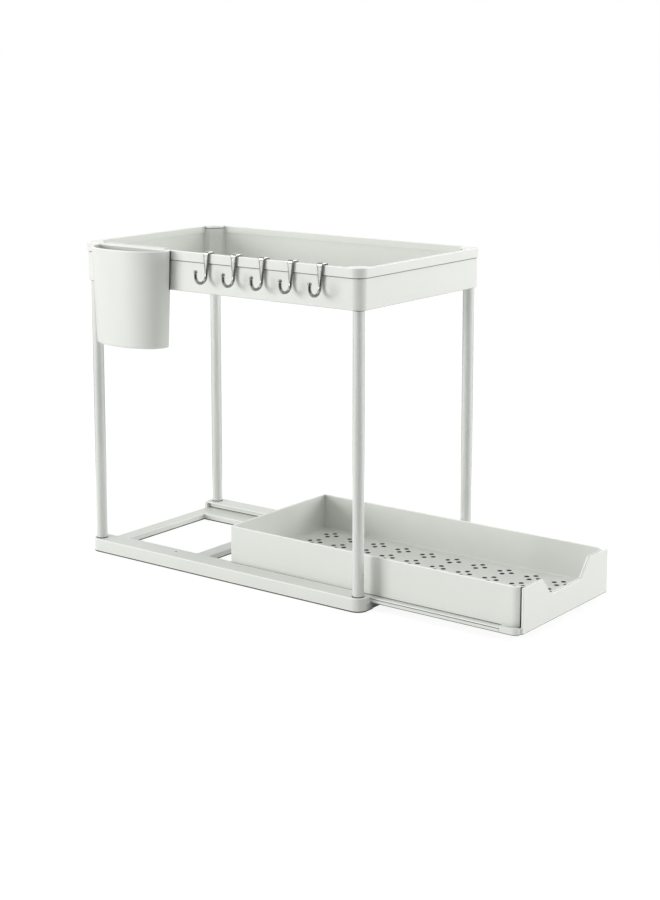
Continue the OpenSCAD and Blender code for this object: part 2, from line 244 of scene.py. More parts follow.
@dataclass(frozen=True)
class PowderCoatedSteel:
    """Steel tube with a smooth white powder coat.

    The coat is glossier than the plastic and has a very low orange-peel swell, so long streaks of
    light run down the tube. A thin line of painted shade marks where it enters the rail and the shelf.
    """

    foot_mm: float
    head_mm: float
    name: str = "powder-coated steel"
    colour: str = "dcdedb"
    # Colour and height of the painted shade band at each end of the tube
    painted_shade_colour: str = "3a3a38"
    painted_shade_mm: float = 0.8
    roughness: float = 0.22
    roughness_spread: float = 0.04
    coat_weight: float = 0.6
    coat_roughness: float = 0.08
    peel_mm: float = 2.5
    peel_depth_mm: float = 0.008

    def build(self) -> bpy.types.Material:
        """Builds the material.

        Returns:
            The material.
        """
        material, tree = new_material(self.name)
        place = add_node(tree, "ShaderNodeTexCoord").outputs["Object"]
        peel = noise(tree, place, self.peel_mm, 1.0)
        height = add_node(tree, "ShaderNodeSeparateXYZ", {0: place}).outputs["Z"]
        # Painted shade: a thin dark band where the tube enters the rail and the shelf
        above = add_node(tree, "ShaderNodeMath",
                         {0: height, 1: (self.foot_mm + self.painted_shade_mm) * MM}, operation="GREATER_THAN")
        below = add_node(tree, "ShaderNodeMath",
                         {0: height, 1: (self.head_mm - self.painted_shade_mm) * MM}, operation="LESS_THAN")
        clear = add_node(tree, "ShaderNodeMath", {0: above.outputs[0], 1: below.outputs[0]},
                         operation="MULTIPLY")
        close(tree, {
            "Base Color": mix(tree, clear.outputs[0], self.painted_shade_colour, self.colour),
            "Roughness": spread(tree, peel, self.roughness, self.roughness_spread),
            "Coat Weight": self.coat_weight, "Coat Roughness": self.coat_roughness,
            "Normal": bump(tree, peel, self.peel_depth_mm)})
        return material


@dataclass(frozen=True)
class PolishedSteel:
    """Stainless steel, stamped and polished.

    Fine polishing lines run along the strap and stretch its reflections, which stay clear enough to
    turn the round end dark between two bright edges.
    """

    name: str = "polished stainless steel"
    colour: str = "a3a3a0"
    shade_colour: str = "848481"
    roughness: float = 0.13
    roughness_spread: float = 0.04
    # real polishing lines are about 0.05 mm apart, drawn at 0.5 mm so that they show
    line_mm: float = 0.5
    line_length_mm: float = 12.0
    line_depth_mm: float = 0.004

    def build(self) -> bpy.types.Material:
        """Builds the material.

        Returns:
            The material.
        """
        material, tree = new_material(self.name)
        place = add_node(tree, "ShaderNodeTexCoord").outputs["Object"]
        stretched = add_node(tree, "ShaderNodeMapping",
                             {"Vector": place, "Scale": (1.0, 1.0, self.line_mm / self.line_length_mm)})
        lines = noise(tree, stretched.outputs["Vector"], self.line_mm, 2.0)
        close(tree, {
            "Base Color": mix(tree, lines, self.shade_colour, self.colour), "Metallic": 1.0,
            "Roughness": spread(tree, lines, self.roughness, self.roughness_spread),
            "Normal": bump(tree, lines, self.line_depth_mm)})
        return material


@dataclass(frozen=True)
class MouldedSilicone:
    """Moulded silicone of the foot pads: milky, matte and slightly dusty."""

    name: str = "moulded silicone"
    colour: str = "cfcfca"
    dust_colour: str = "dadad6"
    roughness: float = 0.7
    dust_mm: float = 1.5
    ior: float = 1.41

    def build(self) -> bpy.types.Material:
        """Builds the material.

        Returns:
            The material.
        """
        material, tree = new_material(self.name)
        place = add_node(tree, "ShaderNodeTexCoord").outputs["Object"]
        dust = noise(tree, place, self.dust_mm, 3.0)
        close(tree, {"Base Color": mix(tree, dust, self.colour, self.dust_colour),
                     "Roughness": self.roughness, "IOR": self.ior})
        return material


class Finishes:
    """The four finishes of the organizer, each built once."""

    def __init__(self) -> None:
        """Builds the materials."""
        self.by_slot = {
            Slot.PLASTIC: MouldedPlastic().build(),
            Slot.ENAMEL: PowderCoatedSteel(cad_box("left_rail")[1].z, cad_box("shelf_tray")[0].z).build(),
            Slot.STEEL: PolishedSteel().build(),
            Slot.SILICONE: MouldedSilicone().build(),
        }

    def __getitem__(self, slot: Slot) -> bpy.types.Material:
        """Returns the material of a slot."""
        return self.by_slot[slot]


@dataclass(frozen=True)
class Corner:
    """A corner of an outline or a profile, and the radius that rounds it."""

    x: float
    y: float
    radius: float = 0.0


def rounded(corners: Sequence[Corner], closed: bool, steps: int = 5) -> list[Point]:
    """Rounds the corners of a polyline with arcs.

    Args:
        corners: The polyline's corners in order.
        closed: Whether the last corner joins the first.
        steps: Number of segments in each arc.

    Returns:
        The points of the rounded line.
    """
    points: list[Point] = []
    count = len(corners)
    for index, corner in enumerate(corners):
        is_end = not closed and index in (0, count - 1)
        if is_end or corner.radius <= 0:
            points.append((corner.x, corner.y))
            continue
        here = Vector((corner.x, corner.y))
        previous = corners[index - 1]
        following = corners[(index + 1) % count]
        before = (Vector((previous.x, previous.y)) - here).normalized()
        after = (Vector((following.x, following.y)) - here).normalized()
        half = before.angle(after) / 2
        centre = here + (before + after).normalized() * corner.radius / math.sin(half)
        start = here + before * corner.radius / math.tan(half) - centre
        end = here + after * corner.radius / math.tan(half) - centre
        first = math.atan2(start.y, start.x)
        sweep = (math.atan2(end.y, end.x) - first + math.pi) % math.tau - math.pi
        points.extend((centre.x + corner.radius * math.cos(first + turn),
                       centre.y + corner.radius * math.sin(first + turn))
                      for turn in in_steps(sweep, steps))
    return points


@dataclass(frozen=True)
class Plan:
    """A rectangle with round corners, seen from above."""

    low: Point
    high: Point
    front_left: float
    front_right: float
    back_right: float
    back_left: float
    arc_steps: int = 12

    def ring(self, inset: float, height: float) -> Ring:
        """Draws the outline further in, at one height.

        Args:
            inset: Distance of the ring inside the outline.
            height: The ring's height.

        Returns:
            The ring's points, counter-clockwise from above.
        """
        sharpest = 0.05
        left, front = self.low[0] + inset, self.low[1] + inset
        right, back = self.high[0] - inset, self.high[1] - inset
        corners = [
            Corner(left, front, max(self.front_left - inset, sharpest)),
            Corner(right, front, max(self.front_right - inset, sharpest)),
            Corner(right, back, max(self.back_right - inset, sharpest)),
            Corner(left, back, max(self.back_left - inset, sharpest)),
        ]
        return [Vector((x, y, height)) for x, y in rounded(corners, True, self.arc_steps)]


class Shape:
    """A mesh under construction, in millimetres."""

    def __init__(self) -> None:
        """Starts with an empty mesh."""
        self.mesh = bmesh.new()

    def skin(self, rings: Sequence[Ring], looped: bool = False) -> None:
        """Covers a row of rings with faces.

        Args:
            rings: Rings of equal length, in order.
            looped: Whether the last ring joins the first. Otherwise both ends are capped.
        """
        rows = [[self.mesh.verts.new(point) for point in ring] for ring in rings]
        pairs = list(zip(rows, rows[1:]))
        if looped:
            pairs.append((rows[-1], rows[0]))
        faces = []
        for low, high in pairs:
            for index, corner in enumerate(low):
                following = (index + 1) % len(low)
                faces.append(self.mesh.faces.new((corner, low[following], high[following], high[index])))
        if not looped:
            faces.append(self.mesh.faces.new(reversed(rows[0])))
            faces.append(self.mesh.faces.new(rows[-1]))
        bmesh.ops.recalc_face_normals(self.mesh, faces=faces)

    def sweep(self, plan: Plan, profile: Sequence[Point], looped: bool = False) -> None:
        """Carries a profile of insets and heights round a plan.

        Args:
            plan: The outline seen from above.
            profile: Pairs of inset and height.
            looped: Whether the profile is closed.
        """
        self.skin([plan.ring(inset, height) for inset, height in profile], looped)

    def prism(self, outline: Sequence[Point], low: float, high: float) -> None:
        """Stands an outline up between two heights.

        Args:
            outline: The outline seen from above.
            low: Height of the bottom.
            high: Height of the top.
        """
        self.skin([[Vector((x, y, height)) for x, y in outline] for height in (low, high)])

    def slab(self, low: Vector, high: Vector, radius: float) -> None:
        """Makes a box whose edges are all rounded.

        Args:
            low: Lowest corner.
            high: Highest corner.
            radius: Radius of the edges.
        """
        deep = radius * 1.5
        plan = Plan(low[:2], high[:2], *[radius * 2] * 4, arc_steps=4)
        self.sweep(plan, rounded([Corner(deep, low.z), Corner(0, low.z, radius),
                                  Corner(0, high.z, radius), Corner(deep, high.z)], False, 3))

    def finish(self, name: str) -> bpy.types.Object:
        """Turns the mesh to metres and to an object at the origin.

        Args:
            name: The object's name.

        Returns:
            The object, smooth apart from its sharp edges.
        """
        bmesh.ops.scale(self.mesh, vec=(MM, MM, MM), verts=self.mesh.verts)
        data = bpy.data.meshes.new(name)
        self.mesh.to_mesh(data)
        self.mesh.free()
        return new_piece(name, data)


def add_object(name: str, data: bpy.types.ID) -> bpy.types.Object:
    """Puts an object with its data in the scene.

    Args:
        name: The object's name.
        data: Its mesh, lamp or camera.

    Returns:
        The object.
    """
    made = bpy.data.objects.new(name, data)
    bpy.context.scene.collection.objects.link(made)
    return made


def new_piece(name: str, data: bpy.types.Mesh) -> bpy.types.Object:
    """Puts a piece's mesh in the scene as an object at the origin.

    Args:
        name: The object's name.
        data: Its mesh.

    Returns:
        The object, shaded smooth apart from its sharp edges.
    """
    data.shade_smooth()
    data.set_sharp_from_angle(angle=SHARP_ANGLE)
    return add_object(name, data)


def cad_copy(node: str, name: str) -> bpy.types.Object:
    """Copies a CAD node's mesh, merges its doubles and joins its flat faces.

    Args:
        node: The CAD node.
        name: Name of the copy.

    Returns:
        The copy, ready for its edges to be rounded.
    """
    merge_distance = 0.005 * MM
    flat_angle = math.radians(0.2)
    mesh = bmesh.new()
    mesh.from_mesh(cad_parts[node].data)
    bmesh.ops.remove_doubles(mesh, verts=mesh.verts, dist=merge_distance)
    bmesh.ops.dissolve_limit(mesh, angle_limit=flat_angle, verts=mesh.verts, edges=mesh.edges)
    bmesh.ops.recalc_face_normals(mesh, faces=mesh.faces)
    data = bpy.data.meshes.new(name)
    mesh.to_mesh(data)
    mesh.free()
    data.materials.clear()
    return new_piece(name, data)


def round_edges(piece: bpy.types.Object, radius: float, segments: int = 3) -> None:
    """Rounds a piece's sharp edges.

    Args:
        piece: The piece.
        radius: Radius in millimetres.
        segments: Segments across each rounded edge.
    """
    bevel = piece.modifiers.new("rounded edges", "BEVEL")
    bevel.width = radius * MM
    bevel.segments = segments
    bevel.limit_method = "ANGLE"
    bevel.angle_limit = SHARP_ANGLE
    bevel.use_clamp_overlap = False


def settle(piece: bpy.types.Object) -> None:
    """Turns a piece's modifiers into plain mesh.

    Args:
        piece: The piece.
    """
    depsgraph = bpy.context.evaluated_depsgraph_get()
    data = bpy.data.meshes.new_from_object(piece.evaluated_get(depsgraph))
    piece.modifiers.clear()
    piece.data = data


def cut_across(piece: bpy.types.Object, axis: tuple[int, int, int], *places: float) -> None:
    """Splits a piece's faces where they cross planes, so that bands of them can be marked.

    Args:
        piece: The piece, without modifiers.
        axis: The axis that the planes are square to.
        places: Where the planes lie along that axis, in millimetres.
    """
    mesh = bmesh.new()
    mesh.from_mesh(piece.data)
    for place in places:
        everything = [*mesh.verts, *mesh.edges, *mesh.faces]
        bmesh.ops.bisect_plane(mesh, geom=everything, plane_co=Vector(axis) * place * MM, plane_no=axis)
    mesh.to_mesh(piece.data)
    mesh.free()


def mark_faces(piece: bpy.types.Object, name: str, share: Callable[[Vector, Vector], float]) -> None:
    """Marks faces for painted colour: painted shade in gaps and on resting edges, or a painted highlight
    on thin edges.

    Args:
        piece: The piece, without modifiers.
        name: The attribute that the material reads.
        share: Gives a face's share, 0 to 1, from its centre in millimetres and its normal.
    """
    layer = piece.data.attributes.new(name, "FLOAT", "FACE")
    layer.data.foreach_set("value", [float(share(face.center / MM, face.normal))
                                     for face in piece.data.polygons])


def on_bottom_edge(centre: Vector, normal: Vector, low: float, reach: float) -> bool:
    """Tells whether a face belongs to the edge at a piece's bottom."""
    flat = 0.98
    return centre.z < low + reach and abs(normal.z) < flat


def on_rounded_edge(_centre: Vector, normal: Vector) -> bool:
    """Tells whether a face belongs to a rounded edge that looks up."""
    tilt = 0.2
    return normal.z > tilt and max(abs(normal.x), abs(normal.y)) > tilt


def flatten_shading(piece: bpy.types.Object) -> None:
    """Keeps the shading of a piece's flat faces flat up to their rounded edges.

    Args:
        piece: The piece.
    """
    weighted = piece.modifiers.new("flat faces stay flat", "WEIGHTED_NORMAL")
    weighted.keep_sharp = True
    weighted.weight = 100


def dress(piece: bpy.types.Object, body: str, nodes: Sequence[str], slot: Slot,
          finishes: Finishes) -> None:
    """Gives a piece its finish and its body, and hides the CAD nodes that it stands for.

    Args:
        piece: The finished piece.
        body: The CAD body that it rides on.
        nodes: The CAD nodes that it stands for, which are hidden.
        slot: The material slot, which picks the finish.
        finishes: The materials.
    """
    piece.data.materials.clear()
    piece.data.materials.append(finishes[slot])
    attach(piece, body)
    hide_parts(*nodes)
    log.info("%s rides on %s with %d faces", piece.name, body, len(piece.data.polygons))


class Rule:
    """A Geometry Nodes tree with named inputs for its sizes."""

    def __init__(self, name: str, lengths: Sequence[str], counts: Sequence[str] = ()) -> None:
        """Starts the tree.

        Args:
            name: The tree's name.
            lengths: Names of its inputs that are lengths.
            counts: Names of its inputs that are whole numbers.
        """
        self.tree = bpy.data.node_groups.new(name, "GeometryNodeTree")
        sockets = {"Geometry": "NodeSocketGeometry", "Finish": "NodeSocketMaterial"}
        sockets.update({length: "NodeSocketFloat" for length in lengths})
        sockets.update({count: "NodeSocketInt" for count in counts})
        for socket, kind in sockets.items():
            self.tree.interface.new_socket(socket, in_out="INPUT", socket_type=kind)
        self.tree.interface.new_socket("Geometry", in_out="OUTPUT", socket_type="NodeSocketGeometry")
        self.inputs = add_node(self.tree, "NodeGroupInput").outputs

    def add(self, kind: str, inputs: dict | None = None, **settings: object) -> bpy.types.Node:
        """Adds a node to the tree and returns it."""
        return add_node(self.tree, kind, inputs, **settings)

    def maths(self, operation: str, first: object, second: object) -> bpy.types.NodeSocket:
        """Adds one sum and returns its result."""
        return self.add("ShaderNodeMath", {0: first, 1: second}, operation=operation).outputs[0]

    def moved(self, geometry: bpy.types.NodeSocket, *way: object) -> bpy.types.NodeSocket:
        """Moves a geometry by three values or sockets and returns it."""
        way = self.add("ShaderNodeCombineXYZ", dict(enumerate(way))).outputs[0]
        return self.add("GeometryNodeTransform", {"Geometry": geometry, "Translation": way}).outputs[0]

    def end(self, geometry: bpy.types.NodeSocket) -> None:
        """Closes the tree: makes instances real and sets the material.

        Args:
            geometry: The geometry that goes out.
        """
        real = self.add("GeometryNodeRealizeInstances", {"Geometry": geometry})
        finished = self.add("GeometryNodeSetMaterial",
                            {"Geometry": real.outputs["Geometry"], "Material": self.inputs["Finish"]})
        self.add("NodeGroupOutput", {"Geometry": finished.outputs["Geometry"]})

    def apply(self, piece: bpy.types.Object, values: dict[str, object]) -> None:
        """Runs the tree on a piece and keeps the result as its plain mesh.

        Args:
            piece: The piece whose geometry goes in.
            values: The inputs' values by name, lengths in metres.
        """
        modifier = piece.modifiers.new(self.tree.name, "NODES")
        modifier.node_group = self.tree
        for item in self.tree.interface.items_tree:
            if item.in_out == "INPUT" and item.name in values:
                modifier[item.identifier] = values[item.name]
        settle(piece)
        piece.data.name = piece.name
        piece.data.shade_smooth()
        piece.data.set_sharp_from_angle(angle=SHARP_ANGLE)


def cad_box(node: str) -> tuple[Vector, Vector]:
    """Returns a CAD node's lowest and highest corners at rest, in millimetres."""
    low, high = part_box(node)
    return low / MM, high / MM


@dataclass
class Base:
    """The low base: a ladder frame between two rails, on four pads."""

    finishes: Finishes
    edge: float = 0.8
    # Shares and sizes of the painted shade: resting edge, under the runners, grooves, rings and dimples
    edge_shade: float = 1.0
    foot_line: float = 1.6
    dark_shade: float = 0.9
    dark_start: float = 106.0
    dark_end: float = 66.0
    dark_fade: float = 14.0
    dark_steps: int = 7
    groove_shade: float = 0.9
    groove_line: float = 1.3
    groove_wall: float = 97.0
    ring_radius: float = 7.4
    dimple_x: float = 98.0
    dimple_y: float = 79.0
    dimple_radius: float = 1.3
    pad_edge: float = 0.3
    pad_segments: int = 48

    def __post_init__(self) -> None:
        """Reads the heights and the posts' place from the frame."""
        self.bottom = cad_box("base_frame")[0].z
        self.top = cad_box("left_rail")[1].z
        self.under_runner = cad_box("left_runner")[0].z
        self.groove_floor = cad_box("base_frame")[1].z
        low, high = cad_box("post_back_right")
        self.post = ((low + high) / 2).xy

    def build(self) -> None:
        """Builds the frame, the rails and the pads."""
        for node in ("base_frame", "left_rail", "right_rail"):
            piece = cad_copy(node, f"moulded_{node}")
            round_edges(piece, self.edge)
            settle(piece)
            cut_across(piece, UP, self.bottom + self.foot_line, self.under_runner,
                       self.groove_floor + self.groove_line)
            cut_across(piece, ACROSS, *self.dark_cuts())
            # Painted shade on the faces that shade picks
            mark_faces(piece, PAINTED_SHADE, self.shade)
            # Painted highlight on the rounded top edges
            mark_faces(piece, PAINTED_HIGHLIGHT, on_rounded_edge)
            flatten_shading(piece)
            dress(piece, Body.FRAME.value, [node], Slot.PLASTIC, self.finishes)
        self.build_pads()

    def shade(self, centre: Vector, normal: Vector) -> float:
        """Gives a face's shade, 0 to 1.

        Painted shade lies on the resting edge, in the rings round the posts, in the dimples, in the
        corner of the runners' grooves and on the front under a runner.

        Args:
            centre: The face's centre in millimetres.
            normal: The face's normal.

        Returns:
            The shade.
        """
        straight = 0.95
        forward = 0.5
        if on_bottom_edge(centre, normal, self.bottom, self.foot_line):
            return self.edge_shade
        place = Vector((abs(centre.x), abs(centre.y)))
        faces_in = normal.x * centre.x < -forward * place.x
        in_groove = self.groove_wall - 1 < place.x < self.groove_wall + 1 and centre.z > self.groove_floor
        if in_groove and faces_in and centre.z < self.groove_floor + self.groove_line:
            return self.groove_shade
        near_top = centre.z > self.top - 2 * self.edge and normal.z < straight
        in_ring = (place - self.post).length < self.ring_radius
        in_dimple = (place - Vector((self.dimple_x, self.dimple_y))).length < self.dimple_radius
        if near_top and (in_ring or in_dimple):
            return 1.0
        # Painted shadow on the front faces under a runner, fading out towards both ends
        if normal.y < -forward and centre.y < -self.post.y and centre.z < self.under_runner:
            return self.dark_shade * self.dark_share(place.x)
        return 0.0

    def dark_cuts(self) -> list[float]:
        """Works out where the dark under a runner gets a step deeper.

        Returns:
            The places along X in millimetres.
        """
        steps = in_steps(self.dark_fade, self.dark_steps)
        places = [self.dark_start - step for step in steps] + [self.dark_end + step for step in steps]
        return places + [-place for place in places]

    def dark_share(self, x: float) -> float:
        """Returns how deep the dark under a runner is at a distance from the middle, 0 to 1."""
        inside = min(self.dark_start - x, x - self.dark_end)
        return min(max(inside / self.dark_fade, 0.0), 1.0)

    def build_pads(self) -> None:
        """Sets one pad under each corner, by a rule."""
        low, high = cad_box("foot_pads")
        size = high - low
        radius = high.x - self.post.x
        rule = Rule("pads_at_corners", ["Radius", "Height", "Apart across", "Apart along"], ["Segments"])
        sizes = rule.inputs
        places = rule.add("GeometryNodeMeshGrid",
                          {"Size X": sizes["Apart across"], "Size Y": sizes["Apart along"],
                           "Vertices X": 2, "Vertices Y": 2})
        disc = rule.add("GeometryNodeMeshCylinder",
                        {"Vertices": sizes["Segments"], "Radius": sizes["Radius"],
                         "Depth": sizes["Height"]})
        pads = rule.add("GeometryNodeInstanceOnPoints",
                        {"Points": places.outputs["Mesh"], "Instance": disc.outputs["Mesh"]})
        middle = rule.maths("MULTIPLY", sizes["Height"], 0.5)
        rule.end(rule.moved(pads.outputs["Instances"], 0.0, 0.0, middle))
        piece = new_piece("silicone_foot_pads", bpy.data.meshes.new("silicone_foot_pads"))
        rule.apply(piece, {
            "Radius": radius * MM, "Height": size.z * MM, "Apart across": (size.x - 2 * radius) * MM,
            "Apart along": (size.y - 2 * radius) * MM, "Segments": self.pad_segments,
            "Finish": self.finishes[Slot.SILICONE]})
        round_edges(piece, self.pad_edge, 2)
        dress(piece, Body.FRAME.value, ["foot_pads"], Slot.SILICONE, self.finishes)


@dataclass
class Posts:
    """The four round tubes that carry the shelf."""

    finishes: Finishes
    wall: float = 1.0
    edge: float = 0.3
    segments: int = 64

    def rule(self) -> Rule:
        """Makes the rule of a round tube: its wall's section carried round a circle.

        Returns:
            The rule.
        """
        rule = Rule("round_tube", ["Radius", "Wall", "Length", "Edge", "X", "Y", "Middle"], ["Segments"])
        sizes = rule.inputs
        half_wall = rule.maths("MULTIPLY", sizes["Wall"], 0.5)
        path = rule.add("GeometryNodeCurvePrimitiveCircle",
                        {"Resolution": sizes["Segments"],
                         "Radius": rule.maths("SUBTRACT", sizes["Radius"], half_wall)})
        section = rule.add("GeometryNodeCurvePrimitiveQuadrilateral",
                           {"Width": sizes["Wall"], "Height": sizes["Length"]})
        softened = rule.add("GeometryNodeFilletCurve",
                            {"Curve": section.outputs["Curve"], "Radius": sizes["Edge"], "Count": 3},
                            mode="POLY")
        tube = rule.add("GeometryNodeCurveToMesh",
                        {"Curve": path.outputs["Curve"], "Profile Curve": softened.outputs["Curve"]})
        rule.end(rule.moved(tube.outputs["Mesh"], sizes["X"], sizes["Y"], sizes["Middle"]))
        return rule

    def build(self) -> None:
        """Builds each post in its CAD node's place."""
        rule = self.rule()
        for place in ("front_left", "front_right", "back_left", "back_right"):
            low, high = cad_box(f"post_{place}")
            middle = (low + high) / 2
            tube = new_piece(f"steel_post_{place}", bpy.data.meshes.new(f"steel_post_{place}"))
            rule.apply(tube, {
                "Radius": (high.x - low.x) / 2 * MM, "Wall": self.wall * MM,
                "Length": (high.z - low.z) * MM, "Edge": self.edge * MM, "X": middle.x * MM,
                "Y": middle.y * MM, "Middle": middle.z * MM, "Segments": self.segments,
                "Finish": self.finishes[Slot.ENAMEL]})
            flatten_shading(tube)
            dress(tube, Body.FRAME.value, [f"post_{place}"], Slot.ENAMEL, self.finishes)


@dataclass
class Shelf:
    """The shelf: a tray with blocks that hold the posts, and the rim that caps its wall."""

    finishes: Finishes
    corner_radius: float = 12.0
    wall: float = 2.2
    floor: float = 2.2
    floor_fillet: float = 2.5
    bottom_edge: float = 1.0
    bottom_shade: float = 0.55
    top_edge: float = 0.5
    seam_reach: float = 1.1
    seam_depth: float = 0.6
    seam_shade: float = 0.75
    block_side: float = 21.0
    block_face: float = 12.0
    band_leg: float = 1.2
    band_top: float = 2.0
    band_edge: float = 0.7
    inner_leg_cut: float = 2.0
    gap: float = 0.1
    cap_groove: float = 0.5
    cap_line: float = 1.0
    cap_shade: float = 0.8
    post_inset: float = 10.0

    def __post_init__(self) -> None:
        """Reads the tray's box from the frame."""
        self.low, self.high = cad_box("shelf_tray")
        self.plan = Plan(self.low[:2], self.high[:2], *[self.corner_radius] * 4)

    def build(self) -> None:
        """Builds the tray and the rim."""
        self.build_tray()
        self.build_rim()

    def block_outline(self, x_sign: int, y_sign: int, inset: float) -> list[Point]:
        """Draws a corner block from above.

        Args:
            x_sign: Which side the corner is on.
            y_sign: Which end the corner is at.
            inset: Distance of the block's outer sides inside the shelf's outer faces.

        Returns:
            The outline's points.
        """
        edge = 1.5
        out_x = self.high.x - inset
        out_y = self.high.y - inset
        low_x = self.high.x - self.block_side
        low_y = self.high.y - self.block_side
        reach = self.high.x + self.high.y - 2 * self.post_inset - self.block_face
        corners = [
            Corner(out_x, out_y, self.corner_radius - inset), Corner(low_x, out_y),
            Corner(low_x, reach - low_x, edge), Corner(reach - low_y, low_y, edge), Corner(out_x, low_y),
        ]
        return [(x * x_sign, y * y_sign) for x, y in rounded(corners, True)]

    def on_block(self, centre: Vector) -> bool:
        """Tells whether a face belongs to a corner block and not to the wall or the band."""
        reach = self.wall + self.band_leg + self.gap + self.cap_groove / 2
        return abs(centre.x) < self.high.x - reach and abs(centre.y) < self.high.y - reach

    def each_corner(self) -> list[tuple[int, int]]:
        """Returns the signs of X and Y of the four corners."""
        return [(x_sign, y_sign) for x_sign in (-1, 1) for y_sign in (-1, 1)]

    def build_tray(self) -> None:
        """Builds the floor, the wall and the corner blocks."""
        deep = self.corner_radius - 1
        floor_z = self.low.z + self.floor
        band_low = cad_box("shelf_rim")[0].z
        seam = (band_low - self.seam_reach, band_low + self.seam_reach)
        profile = rounded([
            Corner(deep, self.low.z), Corner(0, self.low.z, self.bottom_edge), Corner(0, seam[0]),
            Corner(self.seam_depth, seam[0]), Corner(self.seam_depth, seam[1]), Corner(0, seam[1]),
            Corner(0, self.high.z, self.top_edge), Corner(self.wall, self.high.z, self.top_edge),
            Corner(self.wall, floor_z, self.floor_fillet), Corner(deep, floor_z),
        ], False)
        shape = Shape()
        shape.sweep(self.plan, profile)
        for x_sign, y_sign in self.each_corner():
            outline = self.block_outline(x_sign, y_sign, self.wall / 2)
            shape.prism(outline, self.low.z + self.floor / 2, self.high.z)
        tray = shape.finish("moulded_shelf")
        cut_across(tray, UP, self.high.z - self.cap_line)
        # Painted shade on the bottom edge, in the seam under the band and at the top of the corner blocks
        mark_faces(tray, PAINTED_SHADE, lambda centre, normal: max(
            self.bottom_shade * on_bottom_edge(centre, normal, self.low.z, self.bottom_edge / 2),
            self.seam_shade * (abs(centre.z - band_low) <= self.seam_reach),
            self.cap_shade * (centre.z > self.high.z - self.cap_line and self.on_block(centre))))
        flatten_shading(tray)
        dress(tray, Body.FRAME.value, ["shelf_tray"], Slot.PLASTIC, self.finishes)

    def build_rim(self) -> None:
        """Builds the band that clips over the wall, with its caps over the blocks."""
        low, high = cad_box("shelf_rim")
        outer = -self.gap - self.band_leg
        inner = self.wall + self.gap + self.band_leg
        inner_low = low.z + self.inner_leg_cut
        under = high.z - self.band_top
        sharp_edge = 0.3
        profile = rounded([
            Corner(outer, low.z, sharp_edge), Corner(outer, high.z, self.band_edge),
            Corner(inner, high.z, self.band_edge), Corner(inner, inner_low, sharp_edge),
            Corner(inner - self.band_leg, inner_low, sharp_edge), Corner(inner - self.band_leg, under),
            Corner(outer + self.band_leg, under), Corner(outer + self.band_leg, low.z, sharp_edge),
        ], True, 3)
        shape = Shape()
        shape.sweep(self.plan, profile, looped=True)
        for x_sign, y_sign in self.each_corner():
            outline = self.block_outline(x_sign, y_sign, inner + self.cap_groove)
            shape.prism(outline, under, high.z)
        rim = shape.finish("moulded_rim")
        # Painted highlight on the caps over the blocks and on the band's top edge
        mark_faces(rim, PAINTED_HIGHLIGHT, lambda centre, normal: self.on_block(centre)
                   or (centre.z > high.z - self.band_edge and normal.z > 0))
        flatten_shading(rim)
        dress(rim, Body.FRAME.value, ["shelf_rim"], Slot.PLASTIC, self.finishes)


